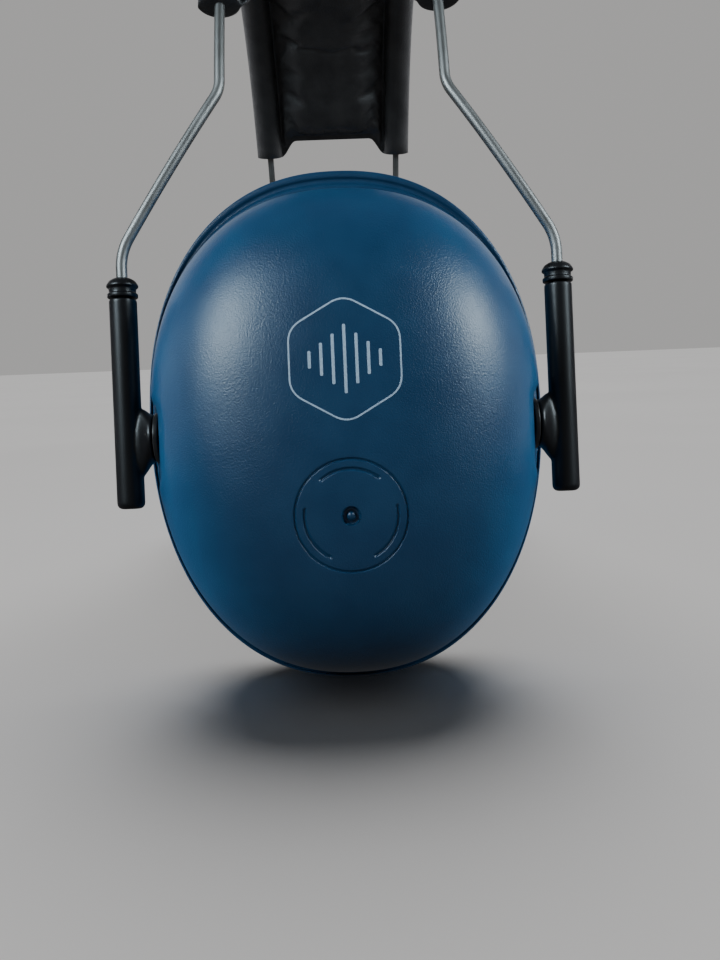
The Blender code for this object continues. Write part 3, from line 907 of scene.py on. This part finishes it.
def make_plate(side, place):
    """The snap-in plate that carries the cushion, with the lip that enters the shell."""
    outer = RIM_SIZES - 1.0 * MM
    lip = DOME_SIZES - SHELL_WALL - 0.3 * MM
    inner = EAR_SIZES - 1.2 * MM
    corners = [
        (inner, PLATE_BACK_U),
        (outer, PLATE_BACK_U),
        (outer, PLATE_TOP_U),
        (lip, PLATE_TOP_U),
        (lip, PLATE_LIP_U),
        (lip - 1.6 * MM, PLATE_LIP_U),
        (lip - 1.6 * MM, PLATE_TOP_U),
        (inner, PLATE_TOP_U),
    ]
    looped = [np.array((*sizes, u)) for sizes, u in [corners[-1], *corners, corners[0]]]
    loop = eased(looped, 0.5 * MM, 3)[1:-1]
    rows = np.array([outline(point[:3], point[3], 240) for point in loop])
    shape = revolved_rows(rows, closed=False)
    plate = make_piece(f"{side}_cushion_backplate", shape, "plate", sharp=50)
    settle(plate, place, f"{side}_cup", f"{side}_cushion_plate")


def make_liner(side, place):
    """A foam bowl pressed into the dome, its face crowned and uneven."""
    count = 144
    rows_each = 26  # of the bowl's outer face, and of its inner one
    sizes_outside = DOME_SIZES - SHELL_WALL - LINER_GAP
    height_outside = DOME_HEIGHT - SHELL_WALL - LINER_GAP
    rows = []
    for inset, order in ((0.0, -1), (LINER_THICKNESS, 1)):
        sizes, height = sizes_outside - inset, height_outside - inset
        low = math.asin(((LINER_EDGE_U - FLANGE_TOP_U) / height) ** (DOME_POWER / 2))
        some = []
        for angle in np.linspace(low, math.radians(89), rows_each):
            across, rise = dome_profile(angle)
            some.append(outline(sizes * across, FLANGE_TOP_U + height * rise, count))
        rows += some[::order]
    rows = np.array(rows)
    edge = rows[rows_each - 1 : rows_each + 1].mean(axis=0)
    edge[:, 0] -= LINER_EDGE_CROWN
    rows = np.insert(rows, rows_each, edge, axis=0)
    points, faces = revolved_rows(rows)
    for point in points[rows_each * count :]:
        lump = noise.noise(Vector(point) * 110.0) + 0.5 * noise.noise(Vector(point) * 330.0)
        point[0] += LINER_LUMPS * lump
    liner = make_piece(f"{side}_foam_liner", (points, faces), "foam")
    settle(liner, place, f"{side}_cup", f"{side}_liner")


# Arms, bushes and pivot studs, made at v = 0 with the boss towards +v


def boss_rows(count=64):
    length = ARM_V - BOSS_FACE_V
    sections = (  # part of the length, half thickness along u, half height along w, and its middle
        (-0.2, 1.6, 7.6, -0.9),
        (0.3, 2.2, 7.4, -0.9),
        (0.5, 2.7, 7.1, -0.8),
        (0.62, 3.3, 6.6, -0.5),
        (0.74, 4.1, 5.8, -0.25),
        (0.86, 4.75, 5.1, -0.05),
        (0.93, 4.9, 4.9, 0.0),
        (1.0, 4.9, 4.9, 0.0),
    )
    angle = full_turn(count)
    rows = []
    for part, thick, tall, middle in sections:
        u = thick * MM * np.cos(angle)
        w = (middle + tall * np.sin(angle)) * MM
        rows.append(np.stack((u, np.full(count, part * length), w), -1))
    return np.array(rows)


def make_arm_mesh():
    """The arm: tube and boss fused by a fine remesh that rounds their corners, then bored."""
    end = 1.2 * MM
    profile = [(ARM_RADIUS - end, ARM_BOTTOM_W)]
    for angle in np.linspace(0, math.pi / 2, 9)[1:]:
        inset, rise = end * (1 - math.sin(angle)), end * (1 - math.cos(angle))
        profile.append((ARM_RADIUS - inset, ARM_BOTTOM_W + rise))
    profile.append((ARM_RADIUS, ARM_TOP_W))
    arm = make_piece("arm_pattern", revolved_rows(turned_rows(profile, 64)), "arm")
    boss = make_piece("arm_boss_tool", revolved_rows(boss_rows()), "arm")
    ends = (ARM_BORE_RADIUS, ARM_BOTTOM_W + 2 * MM), (ARM_BORE_RADIUS, ARM_TOP_W + 2 * MM)
    bore = make_piece("arm_bore_tool", revolved_rows(turned_rows(ends, 32)), "arm")
    modify(arm, "BOOLEAN", operation="UNION", object=boss)
    modify(arm, "REMESH", mode="VOXEL", voxel_size=0.24 * MM)
    modify(arm, "SMOOTH", factor=0.5, iterations=8)
    evaluated(arm)
    modify(arm, "BOOLEAN", operation="DIFFERENCE", object=bore)
    evaluated(arm)
    arm.data.set_sharp_from_angle(angle=math.radians(60))
    for tool in (boss, bore):
        bpy.data.objects.remove(tool)
    return arm


def make_bush_mesh():
    """The domed cap that guides the wire: a ring, a groove and a rounded crown, on a spigot."""
    base = ARM_TOP_W + 0.3 * MM
    spigot = ARM_BORE_RADIUS - 0.3 * MM
    corners = [
        (spigot, ARM_TOP_W - 3 * MM),
        (spigot, base),
        (3.12 * MM, base),
        (3.14 * MM, base + 0.8 * MM),
        (2.76 * MM, base + 0.95 * MM),
        (2.8 * MM, base + 1.95 * MM),
        (BUSH_RADIUS, base + 2.2 * MM),
        (BUSH_RADIUS, base + 2.6 * MM),
        (2.7 * MM, base + 3.45 * MM),
        (1.8 * MM, BUSH_TOP_W),
        (BUSH_BORE_RADIUS, BUSH_TOP_W),
        (BUSH_BORE_RADIUS, ARM_TOP_W - 3 * MM),
    ]
    loop = eased([corners[-1], *corners, corners[0]], 0.22 * MM, 4)[1:-1]
    shape = revolved_rows(turned_rows(loop, 72), closed=False)
    return make_piece("bush_pattern", shape, "arm", sharp=50)


def make_stud_mesh():
    """The pivot stud: a spigot in the boss, a disc against it, a shaft and a snap head."""
    face = ARM_V - BOSS_FACE_V
    disc = face + 0.3 * MM
    inside = ARM_V - BACKING_V + 0.3 * MM
    corners = [
        (0.3 * MM, face - 2.2 * MM),
        (2.0 * MM, face - 2.2 * MM),
        (2.0 * MM, disc),
        (5.3 * MM, disc),
        (5.3 * MM, disc + 1.0 * MM),
        (2.6 * MM, disc + 1.0 * MM),
        (2.6 * MM, inside),
        (3.7 * MM, inside),
        (2.6 * MM, inside + 1.4 * MM),
        (0.3 * MM, inside + 1.4 * MM),
    ]
    rows = turned_rows(eased(corners, 0.25 * MM, 3), 64, axis="v")
    return make_piece("stud_pattern", revolved_rows(rows), "stud", sharp=50)


def make_arms(side, place, patterns):
    """An arm, its bush and its pivot stud at the front and at the rear of a cup."""
    names = {"arm": "slider_arm", "bush": "wire_bush", "pivot": "pivot_stud"}
    for where in ("front", "rear"):
        low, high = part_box(f"{side}_{where}_arm")
        beside = place.inverted() @ ((low + high) / 2)
        turn = math.pi if beside.y > 0 else 0.0
        aside = Matrix.Translation((0, math.copysign(ARM_V, beside.y), 0))
        spot = place @ aside @ Matrix.Rotation(turn, 4, "Z")
        for kind, pattern in patterns.items():
            piece = linked(f"{side}_{where}_{names[kind]}", pattern.data)
            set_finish(piece, pattern["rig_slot"])
            settle(piece, spot, f"{side}_{where}_slider", f"{side}_{where}_{kind}")


# The arch that the wires and the pad follow


def arch_tables():
    """Distances from the crown, points and outward normals, from the crown down a straight leg."""
    pivot = Vector(JOINTS["left_cup_tilt"]["pos_m"])
    down = Vector(JOINTS["left_front_slide"]["axis"]).normalized()
    leg = Vector((pivot.x, 0, pivot.z)) - down * LOWER_BEND_W
    crown_z = WIRE_CROWN_HEIGHT
    drop = crown_z - leg.z
    slope = abs(down.x / down.z)
    cosine = slope / (leg.x / drop - slope)
    radius_z = drop / (1 - cosine)
    radius_x = leg.x / math.sin(math.acos(cosine))
    angle = np.linspace(0, math.acos(cosine), 1200)
    x, z = radius_x * np.sin(angle), crown_z - radius_z + radius_z * np.cos(angle)
    normal = np.stack((np.sin(angle) / radius_x, np.cos(angle) / radius_z), -1)
    normal /= np.linalg.norm(normal, axis=1, keepdims=True)
    distance = np.concatenate(([0.0], np.cumsum(np.hypot(np.diff(x), np.diff(z)))))
    length = LOWER_BEND_W - WIRE_END_W + 5 * MM
    x = np.append(x, leg.x + down.x * length)
    z = np.append(z, leg.z + down.z * length)
    normal = np.vstack((normal, normal[-1]))
    return np.append(distance, distance[-1] + length), x, z, normal, angle


ARCH_DISTANCE, ARCH_X, ARCH_Z, ARCH_NORMAL, ARCH_ANGLE = arch_tables()
ARCH_LENGTH = ARCH_DISTANCE[-2]
PAD_HALF_LENGTH = float(np.interp(PAD_END_ANGLE, ARCH_ANGLE, ARCH_DISTANCE[:-1]))


def on_arch(distance, across, out):
    """Points at distances along the arch, positive on the left, across it and outwards from it."""
    distance, across, out = np.broadcast_arrays(distance, across, out)
    far = np.abs(distance)
    side = np.where(distance < 0, -1.0, 1.0)
    normal_x = np.interp(far, ARCH_DISTANCE, ARCH_NORMAL[:, 0])
    normal_z = np.interp(far, ARCH_DISTANCE, ARCH_NORMAL[:, 1])
    x = side * (np.interp(far, ARCH_DISTANCE, ARCH_X) + normal_x * out)
    z = np.interp(far, ARCH_DISTANCE, ARCH_Z) + normal_z * out
    return np.stack((x, across, z), -1)


def wire_half_line():
    """Half of a wire as (distance, across) places on the arch, from the crown to its end."""
    upper = np.array((ARCH_LENGTH - (UPPER_BEND_W - LOWER_BEND_W), WIRE_HALF_SPACING))
    lower = np.array((ARCH_LENGTH, ARM_V))
    end = np.array((ARCH_LENGTH + LOWER_BEND_W - WIRE_END_W, ARM_V))
    crown = np.array((0.0, WIRE_HALF_SPACING))
    line = bent_line((crown, upper, lower, end), (UPPER_BEND_RADIUS, LOWER_BEND_RADIUS))
    spaced = []
    for start, stop in zip(line, line[1:]):
        count = max(1, int(np.linalg.norm(stop - start) / WIRE_STEP))
        spaced += [start + (stop - start) * i / count for i in range(count)]
    return np.array(spaced + [line[-1]])


def unit(vector):
    return vector / np.linalg.norm(vector)


def bent_line(corners, radii):
    """A line whose corners are replaced by arcs of these radii."""
    line = [corners[0]]
    for before, corner, after, radius in zip(corners, corners[1:], corners[2:], radii):
        back, onward = unit(before - corner), unit(after - corner)
        half = math.acos(float(np.clip(back @ onward, -1, 1))) / 2
        middle = corner + unit(back + onward) * radius / math.sin(half)
        start = corner + back * radius / math.tan(half) - middle
        stop = corner + onward * radius / math.tan(half) - middle
        sweep = math.atan2(start[0] * stop[1] - start[1] * stop[0], start @ stop)
        for angle in np.linspace(0, sweep, 22):
            cosine, sine = math.cos(angle), math.sin(angle)
            line.append(middle + np.array(((cosine, -sine), (sine, cosine))) @ start)
    return line + [corners[-1]]


def tube_rows(line, radii, sides=24):
    """Rows of circles square to a line, each turned as little as possible from the one before."""
    run = np.gradient(line, axis=0)
    run /= np.linalg.norm(run, axis=1, keepdims=True)
    aside = np.array((0.0, 1.0, 0.0))
    angle = full_turn(sides)
    rows = []
    for point, along, radius in zip(line, run, radii):
        aside = unit(aside - along * (aside @ along))
        other = np.cross(along, aside)
        ring = np.outer(np.cos(angle), aside) + np.outer(np.sin(angle), other)
        rows.append(point + radius * ring)
    return np.array(rows)


def make_wire(where, place):
    """One whole wire, from the end inside one arm over the crown to the end inside the other."""
    half = wire_half_line()
    whole = np.vstack((half[::-1] * (-1, 1), half[1:]))
    line = on_arch(whole[:, 0], place * whole[:, 1], 0.0)
    from_end = np.minimum(np.arange(len(line)), np.arange(len(line))[::-1])
    radii = np.where(from_end < UPSET_POINTS, UPSET_RADIUS, WIRE_RADIUS)
    shape = revolved_rows(tube_rows(line, radii))
    wire = make_piece(f"{where}_headband_wire", shape, "steel", sharp=50)
    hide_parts(f"{where}_wire_left", f"{where}_wire_right")
    blend_over_crown(wire)


def blend_over_crown(piece):
    """Bakes a piece's placement into its mesh."""
    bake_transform(piece)


# Headband pad


def pad_end(across):
    """From the crown to the pad's end: full at the wires' lobes, and scalloped between them."""
    inner = smooth_step((19.6 * MM - np.abs(across)) / (5.5 * MM))
    return PAD_HALF_LENGTH - PAD_NOTCH * inner


def crowded(part):
    """Evenly spaced values from -1 to 1, moved closer together towards both ends."""
    return np.sign(part) * (1 - (1 - np.abs(part)) ** 1.25)


def rounded(part):
    """A quarter circle's rise from 0 to 1, and level beyond."""
    return np.sqrt(np.clip(1 - (1 - np.clip(part, 0, 1)) ** 2, 0, 1))


def pad_points(stations=150):
    """The pad's grids: places along and across the arch, two skins' heights, and what is held."""
    lobe_angle = np.linspace(0.0, math.pi, 15)
    panel = PAD_SEAM * crowded(np.linspace(-1, 1, 41))
    lobe_across = WIRE_HALF_SPACING - PAD_LOBE_RADIUS * np.cos(lobe_angle)
    across = np.concatenate((-lobe_across[::-1], panel[1:-1], lobe_across))
    is_lobe = np.abs(across) > PAD_SEAM + 0.01 * MM
    part = crowded(np.linspace(-1, 1, stations))
    distance = part[:, None] * pad_end(across)[None, :]
    inside = pad_end(across)[None, :] - np.abs(distance)
    from_wire = np.abs(across) - WIRE_HALF_SPACING
    lobe_height = np.sqrt(np.clip(PAD_LOBE_RADIUS**2 - from_wire**2, 0, None))
    lobe = lobe_height[None, :] * (0.42 + 0.58 * rounded(inside / (5 * MM)))
    crown = np.clip(1 - (np.abs(across) / PAD_SEAM) ** 2.4, 0, 1) ** 0.55
    fall = rounded((inside - 2.6 * MM) / (13 * MM))
    web = 0.55 * MM  # half of the thickness where the two skins are welded together
    seam = np.exp(-((np.abs(np.abs(across) - PAD_SEAM) / (0.7 * MM)) ** 2))[None, :]
    skins = []
    for swell in (3.6 * MM, 5.0 * MM):  # of the upper skin and of the lower one
        height = np.where(is_lobe, lobe, web + swell * crown * fall)
        skins.append(np.maximum(height * (1 - 0.75 * seam), web * 0.6))
    held = is_lobe[None, :] | (seam > 0.25) | (inside < 2.4 * MM)
    return distance, np.broadcast_to(across, distance.shape), skins[0], -skins[1], held


def make_pad():
    """The padded sleeve: a swollen panel between two lobes that the wires run through."""
    distance, across, upper, lower, held = pad_points()
    rows, columns = distance.shape
    top = on_arch(distance, across, upper).reshape(-1, 3)
    bottom = on_arch(distance, across, lower).reshape(-1, 3)
    count = rows * columns
    faces = grid_faces(rows, columns, wrap_columns=False)
    under = [[index + count for index in reversed(face)] for face in faces]
    edge = perimeter(rows, columns)
    rim = [[a, b, b + count, a + count] for a, b in zip(edge, edge[1:] + edge[:1])]
    points, faces = np.vstack((top, bottom)), faces + under + rim
    pad = make_piece("headband_padded_cover", (points, faces), "pad")
    inflate(pad, np.tile(held.ravel(), 2), pressure=5.0, slack=0.05, cap=1.6 * MM)
    subdivided(pad)
    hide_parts("headband_cover", "headband_foam")
    blend_over_crown(pad)


def perimeter(rows, columns):
    """The grid's edge points in order round it."""
    grid = np.arange(rows * columns).reshape(rows, columns)
    edges = grid[0], grid[1:, -1], grid[-1, -2::-1], grid[-2:0:-1, 0]
    return np.concatenate(edges).tolist()


def make_pad_welds():
    """The ribbed weld lines between the panel and the lobes, above and below."""
    parts = []
    step = 0.35 * MM
    for place in (-1, 1):
        for face in (-1, 1):
            end = float(pad_end(np.array(PAD_SEAM))) - 1.0 * MM
            distance = np.arange(-end, end, step)
            ribs = 0.14 * MM * (np.arange(len(distance)) % 3 == 0)
            rows = []
            for aside, lift in ((-0.75, 0.1), (-0.6, 0.55), (0.6, 0.55), (0.75, 0.1)):
                height = face * (lift * MM + (ribs if lift > 0.3 else 0))
                rows.append(on_arch(distance, place * (PAD_SEAM + aside * MM), height))
            parts.append(strip(rows))
    welds = make_piece("headband_weld_lines", joined(parts), "pad", sharp=40)
    blend_over_crown(welds)


# Floor, lights and camera


def make_floor():
    """A wide plain floor under the object's lowest point."""
    low = CAD_BOX[0].z
    material, tree, shader = start_material("pale_floor", Roughness=0.85)
    cloud = noise_height(tree, 3.0, 3.0)
    tones = ((0.3, (0.77, 0.76, 0.75)), (0.7, (0.81, 0.80, 0.79)))
    feed(shader, Base_Color=ramped(tree, cloud, tones))
    mesh = bpy.data.meshes.new("floor")
    signs = ((-1, -1), (1, -1), (1, 1), (-1, 1))
    corners = [(x * FLOOR_HALF, y * FLOOR_HALF, low) for x, y in signs]
    mesh.from_pydata(corners, [], [(0, 1, 2, 3)])
    mesh.materials.append(material)
    floor = linked("floor", mesh)
    floor.visible_glossy = False
    return floor


def make_light(name, direction, distance, size, power, colour, left_out):
    """A soft box that looks at the object's middle, and leaves one collection unlit."""
    data = bpy.data.lights.new(name, "AREA")
    data.shape = "RECTANGLE"
    data.size, data.size_y = size
    data.energy = power
    data.color = colour
    data.spread = math.radians(110)
    light = linked(name, data)
    middle = (CAD_BOX[0] + CAD_BOX[1]) / 2
    towards = Vector(direction).normalized()
    light.location = middle + towards * distance
    light.rotation_euler = towards.to_track_quat("Z", "Y").to_euler()
    light.light_linking.receiver_collection = left_out
    return light


def make_overhead(direction, strength):
    """Broad light from above and behind, which keeps the floor pale out to its far edge."""
    data = bpy.data.lights.new("overhead", "SUN")
    data.energy = strength
    data.angle = math.radians(50)
    light = linked("overhead", data)
    light.rotation_euler = Vector(direction).to_track_quat("Z", "Y").to_euler()
    light.visible_glossy = False


def make_world():
    """A pale studio behind the object, and a dimmer one for what its surfaces reflect."""
    world = bpy.data.worlds.new("studio")
    bpy.context.scene.world = world
    world.use_nodes = True
    tree = world.node_tree
    shown = tree.nodes["Background"]
    shown.inputs["Color"].default_value = (0.40, 0.395, 0.39, 1)
    lit = add_node(tree, "ShaderNodeBackground", Color=(0.42, 0.42, 0.43, 1), Strength=0.17)
    seen = add_node(tree, "ShaderNodeLightPath").outputs["Is Camera Ray"]
    mix = add_node(tree, "ShaderNodeMixShader", Fac=seen)
    tree.links.new(lit.outputs["Background"], mix.inputs[1])
    tree.links.new(shown.outputs["Background"], mix.inputs[2])
    feed(tree.nodes["World Output"], Surface=mix.outputs["Shader"])


def make_camera():
    """Close to the right cup, turned slightly down and rolled a little."""
    yaw, pitch, roll = CAMERA_YAW, CAMERA_PITCH, CAMERA_ROLL
    ahead = math.cos(pitch)
    forward = Vector((math.cos(yaw) * ahead, math.sin(yaw) * ahead, math.sin(pitch)))
    level_right = forward.cross(Vector((0, 0, 1))).normalized()
    level_up = level_right.cross(forward)
    right = math.cos(roll) * level_right + math.sin(roll) * level_up
    up = right.cross(forward)
    data = bpy.data.cameras.new("camera")
    data.lens = CAMERA_LENS
    data.clip_start = 0.01
    camera = linked("camera", data)
    camera.matrix_world = Matrix((right, up, -forward)).transposed().to_4x4()
    camera.location = CAMERA_PLACE
    bpy.context.scene.camera = camera


def make_studio():
    """Bluish boxes in front, white fills at the flanks, and a floor that only the sun lights."""
    floor_only = bpy.data.collections.new("floor_only")
    floor_only.objects.link(make_floor())
    for name, direction, size, power, tint in FRONT_BOXES:
        make_light(f"{name}_box", direction, 0.75, size, power, tint, floor_only)
    for name, across in (("left", 1), ("right", -1)):
        back = (0.85, 0.5 * across, 0.3)
        make_light(f"back_{name}_box", back, 1.0, (0.7, 0.7), 0.3, WHITE, floor_only)
        flank = (0.3, 0.9 * across, 0.1)
        fill = make_light(f"flank_{name}_fill", flank, 1.0, (0.8, 0.8), 21.0, WHITE, floor_only)
        fill.visible_glossy = False
    floor_only.collection_objects[0].light_linking.link_state = "EXCLUDE"
    make_overhead((0.5, -0.04, 0.85), 2.6)
    make_world()
    make_camera()


def side_frame(side):
    """The matrix of a side's frame, from its pivot and its slide."""
    pivot = Vector(JOINTS[f"{side}_cup_tilt"]["pos_m"])
    w = -Vector(JOINTS[f"{side}_front_slide"]["axis"]).normalized()
    v = Vector((0, 1 if pivot.x > 0 else -1, 0))
    matrix = Matrix((v.cross(w), v, w)).transposed().to_4x4()
    matrix.translation = (pivot.x, 0, pivot.z)
    return matrix


def make_all():
    arm_patterns = {"arm": make_arm_mesh(), "bush": make_bush_mesh(), "pivot": make_stud_mesh()}
    cushion_pattern = make_cushion_mesh()
    for side in SIDES:
        place = side_frame(side)
        make_shell(side, place)
        make_motif(side, place)
        make_plate(side, place)
        make_liner(side, place)
        make_cushion(side, place, cushion_pattern)
        make_cushion_weld(side, place)
        make_arms(side, place, arm_patterns)
    for pattern in (*arm_patterns.values(), cushion_pattern):
        bpy.data.objects.remove(pattern)
    for where, place in (("front", -1), ("rear", 1)):
        make_wire(where, place)
    make_pad()
    make_pad_welds()
    make_studio()


make_all()
